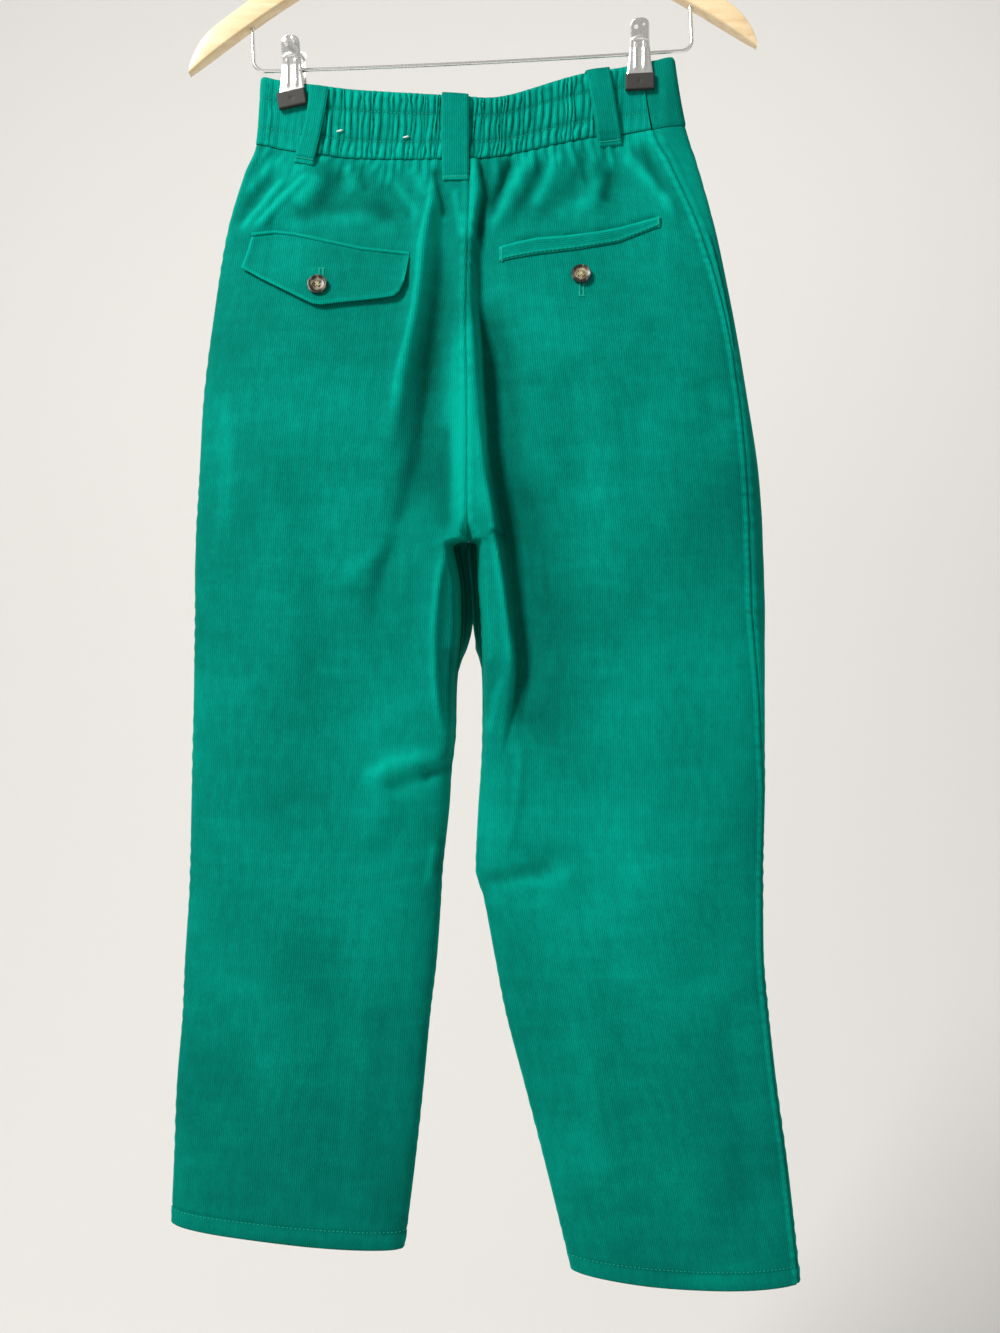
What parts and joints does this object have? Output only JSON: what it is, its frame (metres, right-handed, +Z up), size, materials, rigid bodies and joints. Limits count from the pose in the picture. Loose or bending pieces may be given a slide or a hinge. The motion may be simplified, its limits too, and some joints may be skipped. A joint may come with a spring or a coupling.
{
  "type": "corduroy trousers on a clip hanger",
  "caption": "Fine-wale corduroy trousers with an elasticated back waist, a flap pocket and a welt pocket, hung flat by the waistband from a wooden clip hanger.",
  "frame": {"origin": "inside of the top of the hanger's hook, where it rests on a rail", "axes": "+Z up; the back of the trousers faces -Y; +X to the right of someone looking at that back"},
  "size_m": [0.4932, 0.062, 1.1681],
  "materials": {
    "corduroy": "fine-wale cotton corduroy, green",
    "zip_tape": "woven tape, green",
    "horn": "mottled imitation horn, polished",
    "wood": "pale beech, clear lacquer",
    "chromed_steel": "bright chrome plate on pressed steel and wire",
    "rubber": "black moulded rubber, matt"
  },
  "bodies": {
    "root": {"back_left": "corduroy", "back_right": "corduroy", "front_left": "corduroy", "front_right": "corduroy", "waistband_back": "corduroy", "waistband_front_left": "corduroy", "waistband_front_right": "corduroy", "belt_loop_back_left": "corduroy", "belt_loop_back_centre": "corduroy", "belt_loop_back_right": "corduroy", "belt_loop_front_left": "corduroy", "belt_loop_front_right": "corduroy", "pocket_jet": "corduroy", "pocket_flap": "corduroy", "pocket_welt": "corduroy", "fly_underlap": "corduroy", "fly_zip": "zip_tape", "button_flap": "horn", "button_welt": "horn", "button_waist": "horn", "hanger_arms": "wood", "hanger_hook": "chromed_steel", "trouser_rod": "chromed_steel", "clip_left_jaw_back": "chromed_steel", "clip_left_jaw_front": "chromed_steel", "clip_left_spring": "chromed_steel", "clip_left_pad_back": "rubber", "clip_left_pad_front": "rubber", "clip_right_jaw_back": "chromed_steel", "clip_right_jaw_front": "chromed_steel", "clip_right_spring": "chromed_steel", "clip_right_pad_back": "rubber", "clip_right_pad_front": "rubber"}
  },
  "joints": []
}
